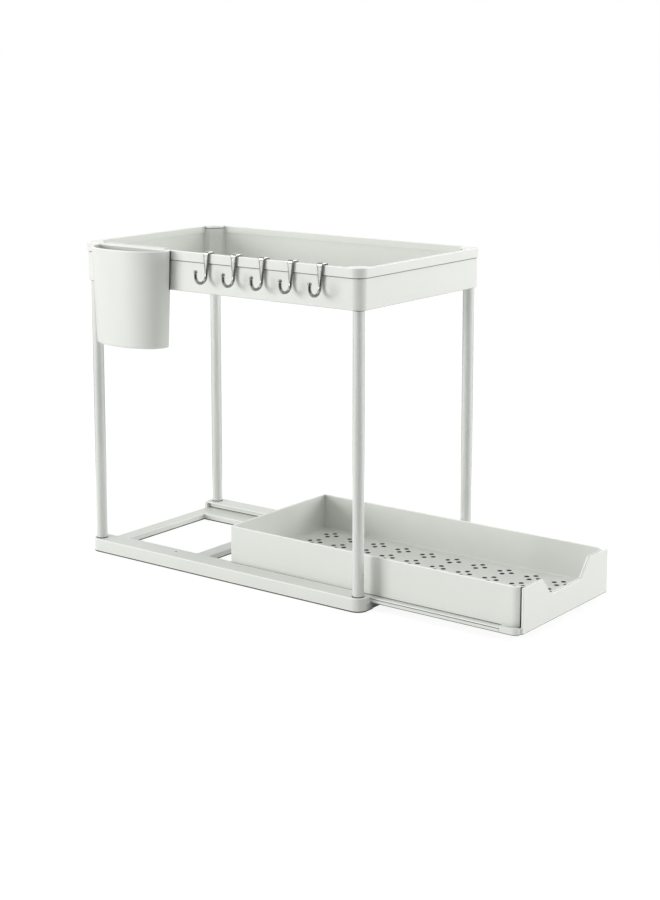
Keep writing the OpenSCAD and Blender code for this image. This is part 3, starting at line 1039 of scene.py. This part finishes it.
@dataclass
class Drawer:
    """The drawer: a box with drain holes, a front panel and two runners."""

    finishes: Finishes
    wall: float = 2.0
    floor: float = 2.0
    front_radius: float = 12.0
    back_radius: float = 2.5
    floor_fillet: float = 2.0
    bottom_edge: float = 0.8
    bottom_shade: float = 0.9
    top_edge: float = 0.9
    notch_top: float = 100.0
    notch_low: float = 64.0
    notch_depth: float = 20.5
    hole: float = 5.0
    hole_slope: float = 0.5
    hole_reach: float = 7.5
    hole_pitch_along: float = 35.0
    hole_pitch_across: float = 32.0
    hole_shift: float = 6.5
    hole_rows: int = 10
    hole_columns: int = 5
    hole_segments: int = 20
    panel_edge: float = 0.6
    panel_line: float = 0.9
    panel_shade: float = 0.7
    wedge_depth: float = 5.0
    wedge_slope: float = 0.68

    def __post_init__(self) -> None:
        """Reads the box's corners from the frame."""
        self.low, self.high = cad_box("drawer_body")

    def build(self) -> None:
        """Builds the box, the panel and the runners."""
        self.build_box()
        panel = cad_copy("drawer_front_panel", "front_panel")
        round_edges(panel, self.panel_edge)
        settle(panel)
        panel_low = cad_box("drawer_front_panel")[0].z
        cut_across(panel, UP, panel_low + self.panel_line)
        # Painted shade on the panel's bottom edge
        mark_faces(panel, PAINTED_SHADE, lambda centre, normal: self.panel_shade * on_bottom_edge(
            centre, normal, panel_low, self.panel_line))
        # Painted highlight on the panel's side faces
        mark_faces(panel, PAINTED_HIGHLIGHT, lambda centre, normal: abs(normal.y) < self.wedge_slope)
        flatten_shading(panel)
        dress(panel, Body.DRAWER.value, ["drawer_front_panel"], Slot.PLASTIC, self.finishes)
        for side in Side:
            Runner(self.finishes, side, self.high.x).build()

    def build_box(self) -> None:
        """Builds the box, cuts its notch and drills its floor."""
        deep = 4.0
        floor_z = self.low.z + self.floor
        plan = Plan(self.low[:2], self.high[:2], self.front_radius, self.front_radius, self.back_radius,
                    self.back_radius)
        profile = rounded([
            Corner(deep, self.low.z), Corner(0, self.low.z, self.bottom_edge),
            Corner(0, self.high.z, self.top_edge), Corner(self.wall, self.high.z, self.top_edge),
            Corner(self.wall, floor_z, self.floor_fillet), Corner(deep, floor_z),
        ], False)
        shape = Shape()
        shape.sweep(plan, profile)
        box = shape.finish("drawer_box")
        self.cut_notch(box)
        self.drill(box)
        # Painted shade and painted highlight, as shade and lighten give them
        mark_faces(box, PAINTED_SHADE, self.shade)
        mark_faces(box, PAINTED_HIGHLIGHT, self.lighten)
        flatten_shading(box)
        dress(box, Body.DRAWER.value, ["drawer_body"], Slot.PLASTIC, self.finishes)

    def shade(self, centre: Vector, normal: Vector) -> float:
        """Gives a face's shade: the bottom edge, the holes' walls and the wedge behind the panel.

        Args:
            centre: The face's centre in millimetres.
            normal: The face's normal.

        Returns:
            The painted shade, 0 to 1.
        """
        # Painted shade: the bottom edge, the drain holes' walls and the wedge behind the panel are drawn
        # dark
        upright = 0.6
        margin = 2 * self.wall
        inside = (self.low.x + margin < centre.x < self.high.x - margin
                  and self.low.y + margin < centre.y < self.high.y - margin)
        in_hole = inside and abs(normal.z) < upright and centre.z < self.low.z + self.floor
        in_wedge = centre.y < self.low.y + self.wedge_depth and normal.y < -self.wedge_slope
        on_edge = not inside and on_bottom_edge(centre, normal, self.low.z, self.bottom_edge)
        return max(float(in_hole), float(in_wedge), self.bottom_shade * on_edge)

    def lighten(self, centre: Vector, normal: Vector) -> bool:
        """Tells whether a face is on the thin top edge or in the hand notch.

        Args:
            centre: The face's centre in millimetres.
            normal: The face's normal.

        Returns:
            Whether it gets the painted highlight.
        """
        below_top = self.high.z - centre.z
        in_notch = (centre.y < self.low.y + self.wall and abs(normal.y) < self.wedge_slope
                    and abs(centre.x) < self.notch_top / 2 and below_top < self.notch_depth + 1)
        return in_notch or below_top < self.top_edge

    def cut_notch(self, box: bpy.types.Object) -> None:
        """Cuts the hand notch out of the box's front wall.

        Args:
            box: The drawer's box.
        """
        over = 1.0
        slope = (self.notch_top - self.notch_low) / 2 / self.notch_depth
        wide = self.notch_top / 2 + slope * over
        narrow = self.notch_low / 2
        top = self.high.z + over
        bottom = self.high.z - self.notch_depth
        shape = Shape()
        section = ((-narrow, bottom), (narrow, bottom), (wide, top), (-wide, top))
        shape.skin([[Vector((x, y, z)) for x, z in section]
                    for y in (self.low.y - over, self.low.y + self.front_radius)])
        cutter = shape.finish("notch_cutter")
        cut = box.modifiers.new("hand notch", "BOOLEAN")
        cut.operation = "DIFFERENCE"
        cut.solver = "EXACT"
        cut.object = cutter
        settle(box)
        bpy.data.objects.remove(cutter)

    def drill(self, box: bpy.types.Object) -> None:
        """Drills groups of four drain holes through the floor, dished at the top, by a rule.

        Args:
            box: The drawer's box.
        """
        rule = Rule("drain_holes",
                    ["Hole", "Slope", "Reach", "Pitch along", "Pitch across", "Middle along", "Height"],
                    ["Rows", "Columns", "Segments"])
        sizes = rule.inputs
        holes_in_group = 4
        group = rule.add("GeometryNodeMeshCircle", {"Vertices": holes_in_group, "Radius": sizes["Reach"]})
        middle_radius = rule.maths("MULTIPLY", sizes["Hole"], 0.5)
        flare = rule.maths("MULTIPLY", middle_radius, sizes["Slope"])
        drill = rule.add("GeometryNodeMeshCone",
                         {"Vertices": sizes["Segments"], "Depth": sizes["Hole"],
                          "Radius Top": rule.maths("ADD", middle_radius, flare),
                          "Radius Bottom": rule.maths("SUBTRACT", middle_radius, flare)})
        seated = rule.moved(drill.outputs["Mesh"], 0.0, 0.0, rule.maths("MULTIPLY", middle_radius, -1.0))
        flower = rule.add("GeometryNodeInstanceOnPoints",
                          {"Points": group.outputs["Mesh"], "Instance": seated})
        gaps_across = rule.maths("SUBTRACT", sizes["Columns"], 1)
        gaps_along = rule.maths("SUBTRACT", sizes["Rows"], 1)
        grid = rule.add("GeometryNodeMeshGrid",
                        {"Size X": rule.maths("MULTIPLY", sizes["Pitch across"], gaps_across),
                         "Size Y": rule.maths("MULTIPLY", sizes["Pitch along"], gaps_along),
                         "Vertices X": sizes["Columns"], "Vertices Y": sizes["Rows"]})
        flowers = rule.add("GeometryNodeInstanceOnPoints",
                           {"Points": grid.outputs["Mesh"], "Instance": flower.outputs["Instances"]})
        placed = rule.moved(flowers.outputs["Instances"], 0.0, sizes["Middle along"], sizes["Height"])
        real = rule.add("GeometryNodeRealizeInstances", {"Geometry": placed})
        cut = rule.add("GeometryNodeMeshBoolean",
                       {"Mesh 1": sizes["Geometry"], "Mesh 2": real.outputs["Geometry"]},
                       operation="DIFFERENCE", solver="EXACT")
        rule.end(cut.outputs["Mesh"])
        middle = (self.low.y + self.high.y) / 2 + self.hole_shift
        rule.apply(box, {
            "Hole": self.hole * MM, "Slope": self.hole_slope, "Reach": self.hole_reach * MM,
            "Pitch along": self.hole_pitch_along * MM, "Pitch across": self.hole_pitch_across * MM,
            "Middle along": middle * MM, "Height": (self.low.z + self.floor / 2) * MM,
            "Rows": self.hole_rows, "Columns": self.hole_columns, "Segments": self.hole_segments,
            "Finish": self.finishes[Slot.PLASTIC]})


@dataclass
class Runner:
    """A strip under the drawer's side that slides in the rail, with its seam, end and stop lug."""

    finishes: Finishes
    side: Side
    wall_x: float
    nose_radius: float = 7.5
    corner_radius: float = 1.2
    edge: float = 0.5
    foot_line: float = 0.9
    seam_below_top: float = 1.0
    seam_height: float = 0.8
    seam_depth: float = 0.7
    seam_shade: float = 0.75
    bottom_shade: float = 0.9
    width: float = 16.0
    lug_out: float = 2.2
    lug_length: float = 8.0
    lug_from_front: float = 213.3
    end_length: float = 22.0
    end_height: float = 1.6

    def __post_init__(self) -> None:
        """Reads the runner's box from the frame."""
        self.node = f"{self.side.name.lower()}_runner"
        self.low, self.high = cad_box(self.node)
        self.top = self.high.z - self.end_height
        self.outer = max(abs(self.low.x), abs(self.high.x)) - self.lug_out
        self.end_back = self.low.y + self.end_length

    def build(self) -> None:
        """Builds the runner."""
        seam_top = self.top - self.seam_below_top
        seam_low = seam_top - self.seam_height
        deep = self.corner_radius - 0.1
        foot = [Corner(deep, self.low.z), Corner(0, self.low.z, self.edge),
                Corner(0, self.low.z + self.foot_line)]
        seam = [Corner(0, seam_low), Corner(self.seam_depth, seam_low), Corner(self.seam_depth, seam_top),
                Corner(0, seam_top)]
        head = [Corner(0, self.top, self.edge), Corner(deep, self.top)]
        raised = [Corner(deep, self.top - self.edge), Corner(0, self.top - self.edge),
                  Corner(0, self.high.z, self.edge), Corner(deep, self.high.z)]
        inner = self.outer - self.width
        strip = self.plan(inner, self.end_back - self.edge, self.high.y, self.corner_radius)
        nose = self.plan(inner, self.low.y, self.end_back, self.nose_radius)
        end = self.plan(self.wall_x, self.low.y, self.end_back, self.nose_radius)
        shape = Shape()
        shape.sweep(strip, rounded(foot + seam + head, False, 3))
        shape.sweep(nose, rounded(foot + head, False, 3))
        shape.sweep(end, rounded(raised, False, 3))
        self.add_lug(shape)
        runner = shape.finish(f"sliding_{self.node}")
        # Painted shade on the bottom edge and in the seam behind the raised end
        mark_faces(runner, PAINTED_SHADE, lambda centre, normal: max(
            self.bottom_shade * on_bottom_edge(centre, normal, self.low.z, self.foot_line),
            self.seam_shade * (seam_low <= centre.z <= seam_top and centre.y > self.end_back)))
        # Painted highlight on the rounded top edges
        mark_faces(runner, PAINTED_HIGHLIGHT, on_rounded_edge)
        flatten_shading(runner)
        dress(runner, Body.DRAWER.value, [self.node], Slot.PLASTIC, self.finishes)

    def plan(self, inner: float, front: float, back: float, nose: float) -> Plan:
        """Draws a stretch of the runner from above.

        Args:
            inner: Distance of its inner side from the middle of the drawer.
            front: Its front end.
            back: Its back end.
            nose: Radius of its outer front corner.

        Returns:
            The plan.
        """
        left, right = sorted((self.side.value * inner, self.side.value * self.outer))
        small = self.corner_radius
        noses = {Side.LEFT: (nose, small), Side.RIGHT: (small, nose)}[self.side]
        return Plan((left, front), (right, back), *noses, small, small)

    def add_lug(self, shape: Shape) -> None:
        """Adds the lug that meets the stop in the rail.

        Args:
            shape: The runner under construction.
        """
        left, right = sorted((self.side.value * (self.outer - self.edge),
                              self.side.value * (self.outer + self.lug_out)))
        start = self.low.y + self.lug_from_front
        shape.slab(Vector((left, start, self.low.z)), Vector((right, start + self.lug_length, self.top)),
                   self.edge)


@dataclass
class Cup:
    """The cup with its flat back and bowed front, and the hanger that holds it on the rim."""

    finishes: Finishes
    width: float = 110.0
    depth: float = 36.0
    height: float = 111.5
    taper_width: float = 10.0
    taper_depth: float = 3.0
    foot_radius: float = 3.0
    wall: float = 2.0
    bow: float = 2.4
    back_edge: float = 1.2
    slit_depth: float = 2.6
    outline_steps: int = 72
    arc_steps: int = 8
    hanger: float = 1.5
    hanger_inset: float = 10.0
    hanger_lip: float = 12.0
    hanger_bend: float = 0.6

    def __post_init__(self) -> None:
        """Reads the cup's place from the frame."""
        low, high = cad_box("hanging_cup")
        self.back_x = low.x + self.depth
        self.middle_y = (low.y + high.y) / 2
        self.bottom = low.z
        self.low, self.high = low, high

    def ring(self, height: float, foot: float, inset: float) -> Ring:
        """Draws the cup's outline at one height.

        Args:
            height: Height above the cup's bottom.
            foot: How far the rounded bottom edge draws the outline in.
            inset: Distance inside the outer face.

        Returns:
            The ring's points: the bowed front, then straight along the back.
        """
        rise = 1 - height / self.height
        width = self.width - self.taper_width * rise - 2 * foot
        depth = self.depth - self.taper_depth * rise - foot
        power = 2 / self.bow
        sharpest = 0.1
        corners = []
        for angle in in_steps(math.pi, self.outline_steps):
            bulge = abs(math.sin(angle)) ** power
            along = signed_power(math.cos(angle), power)
            corners.append(Corner(self.back_x - inset - (depth - 2 * inset) * bulge,
                                  self.middle_y + (width / 2 - inset) * along))
        for end in (0, -1):
            corners[end] = replace(corners[end], radius=max(self.back_edge - inset / 2, sharpest))
        return [Vector((x, y, self.bottom + height)) for x, y in rounded(corners, True)]

    def foot_rings(self, inset: float, floor: float) -> list[Ring]:
        """Draws the rings of the rounded bottom edge, from the floor up.

        Args:
            inset: Distance inside the outer face.
            floor: Height of the face at the bottom.

        Returns:
            The rings.
        """
        radius = self.foot_radius - inset
        return [self.ring(floor + radius * (1 - math.cos(angle)), radius * (1 - math.sin(angle)), inset)
                for angle in in_steps(math.pi / 2, self.arc_steps)]

    def build(self) -> None:
        """Builds the cup and its hanger."""
        lip = self.wall / 2
        rim = [self.ring(self.height - lip * (1 - math.sin(angle)), 0, lip * (1 - math.cos(angle)))
               for angle in in_steps(math.pi, self.arc_steps)]
        inside = list(reversed(self.foot_rings(self.wall, self.wall)))
        shelf_low = cad_box("shelf_tray")[0].z
        shape = Shape()
        shape.skin([*self.foot_rings(0, 0), self.ring(shelf_low - self.bottom, 0, 0), *rim, *inside])
        self.add_hanger(shape)
        cup = shape.finish("hanging_cup_shell")
        sideways = 0.5
        half = (self.width - self.taper_width) / 2
        slit_x = self.back_x - self.slit_depth
        # Painted shade in the slit where the cup's back corners meet the shelf's wall
        mark_faces(cup, PAINTED_SHADE, lambda centre, normal: slit_x < centre.x < self.back_x
                   and centre.z > shelf_low and abs(normal.y) > sideways
                   and (centre.y - self.middle_y) * normal.y > half * sideways)
        # Painted highlight on the cup's top lip
        mark_faces(cup, PAINTED_HIGHLIGHT, lambda centre, normal: normal.z > 0
                   and abs(centre.z - self.bottom - self.height) < lip)
        flatten_shading(cup)
        dress(cup, Body.CUP.value, ["hanging_cup"], Slot.PLASTIC, self.finishes)

    def add_hanger(self, shape: Shape) -> None:
        """Adds the strip that goes over the shelf's rim.

        Args:
            shape: The cup under construction.
        """
        edge = self.hanger / 2 - 0.05
        outer = self.back_x - self.hanger
        inner = self.high.x
        top = self.high.z
        foot = self.bottom + self.height - 2 * self.hanger
        lip_foot = self.bottom + self.height - self.hanger_lip
        section = rounded([
            Corner(outer, foot, edge), Corner(outer, top, self.hanger + self.hanger_bend),
            Corner(inner, top, self.hanger + self.hanger_bend), Corner(inner, lip_foot, edge),
            Corner(inner - self.hanger, lip_foot, edge),
            Corner(inner - self.hanger, top - self.hanger, self.hanger_bend),
            Corner(outer + self.hanger, top - self.hanger, self.hanger_bend),
            Corner(outer + self.hanger, foot, edge),
        ], True, 4)
        half = self.width / 2 - self.hanger_inset
        shape.skin([[Vector((x, self.middle_y + along, z)) for x, z in section]
                    for along in (-half, half)])


@dataclass(frozen=True)
class Station:
    """One place along a hook: its centre in the XZ plane and its section."""

    x: float
    z: float
    width: float
    thickness: float
    squareness: float


@dataclass
class Hooks:
    """The five steel hooks over the rim: a strap that narrows into a round J with a ball end."""

    finishes: Finishes
    strap_width: float = 7.5
    strap: float = 2.6
    wire: float = 3.4
    bend_radius: float = 9.0
    drop: float = 22.5
    lip: float = 9.0
    tip: float = 4.5
    ball: float = 4.6
    strap_bend: float = 1.25
    flat_section: float = 7.0
    round_section: float = 2.0
    ring_points: int = 28
    strap_steps: int = 12
    bend_steps: int = 20
    ball_steps: int = 8

    def stations(self) -> list[Station]:
        """Works out the places along one hook, from the lip inside the shelf to the ball.

        Returns:
            The stations in order.
        """
        low, high = cad_box("hook_1")
        top = high.z - self.strap / 2
        bend_z = cad_box("shelf_rim")[1].z - self.drop
        lip_x = high.x - self.strap / 2
        wire_x = low.x + self.ball / 2 + 2 * self.bend_radius
        strap_x = wire_x + self.wire / 2 - self.strap / 2
        lip_low = bend_z + self.drop - self.lip
        over_rim = rounded([Corner(lip_x, lip_low), Corner(lip_x, top, self.strap_bend),
                            Corner(strap_x, top, self.strap_bend), Corner(strap_x, bend_z + self.drop)],
                           False, 6)
        made = [Station(x, z, self.strap_width, self.strap, self.flat_section) for x, z in over_rim]
        for share in in_steps(1.0, self.strap_steps)[1:]:
            made.append(Station(
                strap_x + (wire_x - strap_x) * share, bend_z + self.drop * (1 - share),
                self.strap_width + (self.wire - self.strap_width) * share,
                self.strap + (self.wire - self.strap) * share,
                self.flat_section + (self.round_section - self.flat_section) * share ** 0.5))
        for angle in in_steps(math.pi, self.bend_steps)[1:]:
            made.append(Station(wire_x - self.bend_radius * (1 - math.cos(angle)),
                                bend_z - self.bend_radius * math.sin(angle),
                                self.wire, self.wire, self.round_section))
        tip_x = wire_x - 2 * self.bend_radius
        ball_radius = self.ball / 2
        wire_meets = math.asin(self.wire / self.ball)
        pole = math.pi * 0.97
        for turn in in_steps(pole - wire_meets, self.ball_steps):
            size = 2 * ball_radius * math.sin(wire_meets + turn)
            height = bend_z + self.tip - ball_radius * math.cos(wire_meets + turn)
            made.append(Station(tip_x, height, size, size, self.round_section))
        return made

    def ring(self, stations: Sequence[Station], index: int) -> Ring:
        """Draws the section at one station, square to the path.

        Args:
            stations: All the stations.
            index: The station.

        Returns:
            The ring's points.
        """
        here = stations[index]
        before = stations[max(index - 1, 0)]
        after = stations[min(index + 1, len(stations) - 1)]
        along = Vector((after.x - before.x, after.z - before.z)).normalized()
        normal = Vector((-along.y, along.x))
        power = 2 / here.squareness
        ring = []
        for angle in in_steps(math.tau, self.ring_points)[:-1]:
            across = signed_power(math.cos(angle), power) * here.width / 2
            out = signed_power(math.sin(angle), power) * here.thickness / 2
            ring.append(Vector((here.x + normal.x * out, across, here.z + normal.y * out)))
        return ring

    def build(self) -> None:
        """Builds one hook and sets it at each place along the rim, by a rule."""
        rule = Rule("hook_along_rim", ["Along rim"])
        rule.end(rule.moved(rule.inputs["Geometry"], 0.0, rule.inputs["Along rim"], 0.0))
        stations = self.stations()
        for number, letter in enumerate("abcde", start=1):
            node = f"hook_{number}"
            low, high = cad_box(node)
            shape = Shape()
            shape.skin([self.ring(stations, index) for index in range(len(stations))])
            hook = shape.finish(f"steel_{node}")
            rule.apply(hook, {"Along rim": (low.y + high.y) / 2 * MM,
                              "Finish": self.finishes[Slot.STEEL]})
            dress(hook, f"hook_{letter}", [node], Slot.STEEL, self.finishes)


@dataclass
class Studio:
    """The floor, the lamps, the white surroundings and the camera."""

    floor_size: float = 60.0
    floor_colour: str = "f4f4f2"
    floor_shade: float = 0.2
    floor_white: float = 1.12
    white: str = "ffffff"
    felt_colour: str = "161616"
    sky_strength: float = 0.6
    card_distance: float = 2.5
    card_width: float = 3.6
    card_height: float = 2.4
    back_felt: tuple[float, float, float] = (0.35, 3.0, 3.0)
    front_felt: tuple[float, float, float] = (0.5, 2.2, 1.8)
    lens: float = 71.88
    sensor: float = 36.0
    nearest: float = 0.05
    shift_y: float = -0.14
    eye: tuple[float, float, float] = (-1.6069, -1.2848, 0.6196)
    heading: float = 52.96
    pitch: float = -9.373
    target: tuple[float, float, float] = (0.0, 0.0, 0.2)

    def build(self) -> None:
        """Builds the whole studio."""
        self.build_floor()
        self.build_card()
        self.build_felts()
        self.build_sky()
        self.build_lamps()
        self.build_camera()

    def build_floor(self) -> None:
        """Builds the pale floor that keeps the object's shadow."""
        floor = self.sheet("studio_floor", self.floor_size, self.floor_size)
        material, tree = new_material("white studio paper")
        matte = add_node(tree, "ShaderNodeBsdfDiffuse", {"Color": linear(self.floor_colour)})
        white = add_node(tree, "ShaderNodeEmission",
                         {"Color": linear(self.white), "Strength": self.floor_white})
        seen = self.background_rays(tree)
        share = add_node(tree, "ShaderNodeMath", {0: seen, 1: 1 - self.floor_shade}, operation="MULTIPLY")
        mixed = add_node(tree, "ShaderNodeMixShader",
                         {0: share.outputs[0], 1: matte.outputs[0], 2: white.outputs[0]})
        add_node(tree, "ShaderNodeOutputMaterial", {"Surface": mixed.outputs[0]})
        floor.data.materials.append(material)

    def sheet(self, name: str, width: float, height: float) -> bpy.types.Object:
        """Makes a flat sheet in the XY plane.

        Args:
            name: The sheet's name.
            width: Its size along X in metres.
            height: Its size along Y in metres.

        Returns:
            The sheet.
        """
        corners = ((-1, -1), (1, -1), (1, 1), (-1, 1))
        mesh = bmesh.new()
        mesh.faces.new([mesh.verts.new((x * width / 2, y * height / 2, 0)) for x, y in corners])
        data = bpy.data.meshes.new(name)
        mesh.to_mesh(data)
        mesh.free()
        return add_object(name, data)

    def black_sheet(self, name: str, width: float, height: float) -> bpy.types.Object:
        """Makes a black sheet that the camera doesn't see.

        Args:
            name: The sheet's name.
            width: Its size along X in metres.
            height: Its size along Y in metres.

        Returns:
            The sheet.
        """
        made = self.sheet(name, width, height)
        material, tree = new_material("black studio felt")
        felt = add_node(tree, "ShaderNodeBsdfDiffuse", {"Color": linear(self.felt_colour)})
        add_node(tree, "ShaderNodeOutputMaterial", {"Surface": felt.outputs[0]})
        made.data.materials.append(material)
        made.visible_camera = False
        return made

    def towards_camera(self) -> Vector:
        """Returns the level direction from the object to the camera."""
        return Vector((*self.eye[:2], 0)).normalized()

    def build_card(self) -> None:
        """Stands a dark card behind the camera, which darkens what faces it and its reflections."""
        card = self.black_sheet("dark_card", self.card_width, self.card_height)
        away = self.towards_camera() * self.card_distance
        card.location = away + Vector((0, 0, self.card_height / 2))
        card.rotation_euler = (-away).to_track_quat("Z", "Y").to_euler()

    def build_felts(self) -> None:
        """Lays felt behind the object for dark outlines, and in front for what faces the camera."""
        self.lay_felt("felt_behind", -self.towards_camera(), *self.back_felt)
        self.lay_felt("felt_in_front", self.towards_camera(), *self.front_felt)

    def lay_felt(self, name: str, away: Vector, start: float, length: float, width: float) -> None:
        """Lays one felt on the floor, which only reflections show.

        Args:
            name: The felt's name.
            away: The direction from the object to the felt.
            start: Distance of its near edge from the origin in metres.
            length: Its size along that direction in metres.
            width: Its size across that direction in metres.
        """
        lift = 0.002
        felt = self.black_sheet(name, length, width)
        felt.location = away * (start + length / 2) + Vector((0, 0, lift))
        felt.rotation_euler = Euler((0, 0, math.atan2(away.y, away.x)))
        felt.visible_diffuse = False
        felt.visible_shadow = False
        felt.visible_transmission = False

    def background_rays(self, tree: bpy.types.NodeTree) -> bpy.types.NodeSocket:
        """Picks out the rays that show the background.

        Args:
            tree: The material's or the world's tree.

        Returns:
            A socket that is 1 for direct, reflected and refracted rays, and otherwise 0.
        """
        path = add_node(tree, "ShaderNodeLightPath").outputs
        seen = path["Is Camera Ray"]
        for kind in ("Is Glossy Ray", "Is Transmission Ray"):
            either = add_node(tree, "ShaderNodeMath", {0: seen, 1: path[kind]}, operation="MAXIMUM")
            seen = either.outputs[0]
        return seen

    def build_sky(self) -> None:
        """Surrounds the scene with soft light that looks white."""
        world = bpy.data.worlds.new("white studio")
        world.use_nodes = True
        tree = world.node_tree
        tree.nodes.clear()
        light = add_node(tree, "ShaderNodeBackground",
                         {"Color": linear(self.white), "Strength": self.sky_strength})
        white = add_node(tree, "ShaderNodeBackground", {"Color": linear(self.white), "Strength": 1.0})
        mixed = add_node(tree, "ShaderNodeMixShader",
                         {0: self.background_rays(tree), 1: light.outputs[0], 2: white.outputs[0]})
        add_node(tree, "ShaderNodeOutputWorld", {"Surface": mixed.outputs[0]})
        bpy.context.scene.world = world

    def build_lamps(self) -> None:
        """Hangs a softbox on either side of the camera's line, and a wide one overhead."""
        self.add_lamp("left softbox", Vector((-4.0, 3.0, 1.1)), side=2.0, power=125.0)
        self.add_lamp("right softbox", Vector((1.5, -2.0, 0.8)), side=1.2, power=27.0)
        self.add_lamp("overhead softbox", Vector((0.0, -0.1, 2.4)), side=2.0, power=14.0)

    def add_lamp(self, name: str, place: Vector, side: float, power: float) -> None:
        """Hangs one square softbox, turned to the object.

        Args:
            name: The lamp's name.
            place: Its place in metres.
            side: Length of its sides in metres.
            power: Its power in watts.
        """
        data = bpy.data.lights.new(name, "AREA")
        data.shape = "RECTANGLE"
        data.size = side
        data.size_y = side
        data.energy = power
        lamp = add_object(name, data)
        lamp.location = place
        lamp.rotation_euler = (Vector(self.target) - place).to_track_quat("-Z", "Y").to_euler()
        lamp.visible_camera = False

    def build_camera(self) -> None:
        """Sets the camera where the photograph was taken from."""
        data = bpy.data.cameras.new("picture camera")
        data.lens = self.lens
        data.sensor_width = self.sensor
        data.shift_y = self.shift_y
        data.clip_start = self.nearest
        camera = add_object("picture camera", data)
        camera.location = self.eye
        camera.rotation_euler = Euler((math.radians(90 + self.pitch), 0.0, -math.radians(self.heading)))
        bpy.context.scene.camera = camera


def main() -> None:
    """Builds the studio and every sub-assembly."""
    logging.basicConfig(level=logging.INFO, format="%(name)s: %(message)s")
    bpy.context.scene.view_settings.view_transform = "Standard"
    Studio().build()
    finishes = Finishes()
    for assembly in (Base, Posts, Shelf, Drawer, Cup, Hooks):
        assembly(finishes).build()
        log.info("%s is done", assembly.__name__)


if __name__ == "__main__":
    main()
